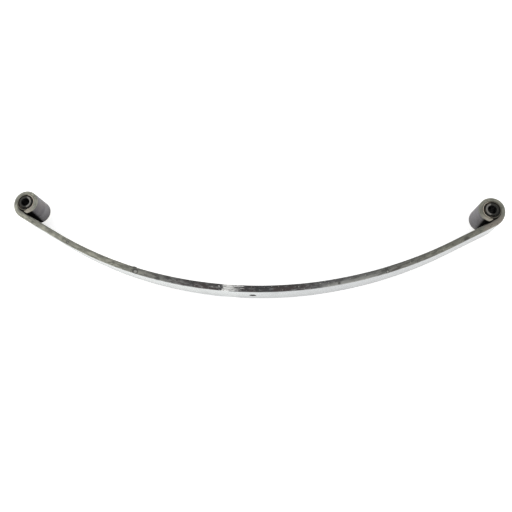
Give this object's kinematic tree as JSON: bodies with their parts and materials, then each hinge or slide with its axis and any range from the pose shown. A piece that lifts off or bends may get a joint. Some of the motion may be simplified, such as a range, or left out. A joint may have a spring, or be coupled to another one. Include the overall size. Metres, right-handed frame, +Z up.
{
  "type": "leaf spring",
  "caption": "Single-leaf spring: a bowed steel leaf with an upturned rolled eye at each end, a rubber bush in each eye and a centre bolt hole.",
  "frame": {"origin": "axis of the centre hole, at the convex seat face, half-way across the leaf's width", "axes": "the spring lies on its side: +X along the leaf towards the right eye, +Y from the convex face towards the eyes, +Z up, across the leaf and along the eye bolts"},
  "size_m": [0.9692, 0.197, 0.0666],
  "materials": {
    "spring_steel": "worn satin, mottled with old paint and light corrosion",
    "sleeve_steel": "dull, lightly corroded",
    "bush_rubber": "matte"
  },
  "bodies": {
    "leaf": {"main_leaf": "spring_steel", "left_outer_sleeve": "sleeve_steel", "left_rubber_bush": "bush_rubber"},
    "left_sleeve": {"left_inner_sleeve": "sleeve_steel"},
    "right_eye": {"right_outer_sleeve": "sleeve_steel", "right_rubber_bush": "bush_rubber"},
    "right_sleeve": {"right_inner_sleeve": "sleeve_steel"}
  },
  "joints": [
    {"name": "leaf_flex", "type": "hinge", "parent": "leaf", "child": "right_eye", "pos_m": [-0.01, 0.0065, 0], "axis": [0, 0, -1], "range_deg": [-2, 14.4], "stiffness_Nm_per_rad": 6800, "deforming": ["main_leaf"]},
    {"name": "left_bush_twist", "type": "hinge", "parent": "leaf", "child": "left_sleeve", "pos_m": [-0.47, 0.1726, 0], "axis": [0, 0, 1], "range_deg": [-12, 12], "stiffness_Nm_per_rad": 310},
    {"name": "right_bush_twist", "type": "hinge", "parent": "right_eye", "child": "right_sleeve", "pos_m": [0.45, 0.1726, 0], "axis": [0, 0, 1], "range_deg": [-12, 12], "stiffness_Nm_per_rad": 310}
  ]
}
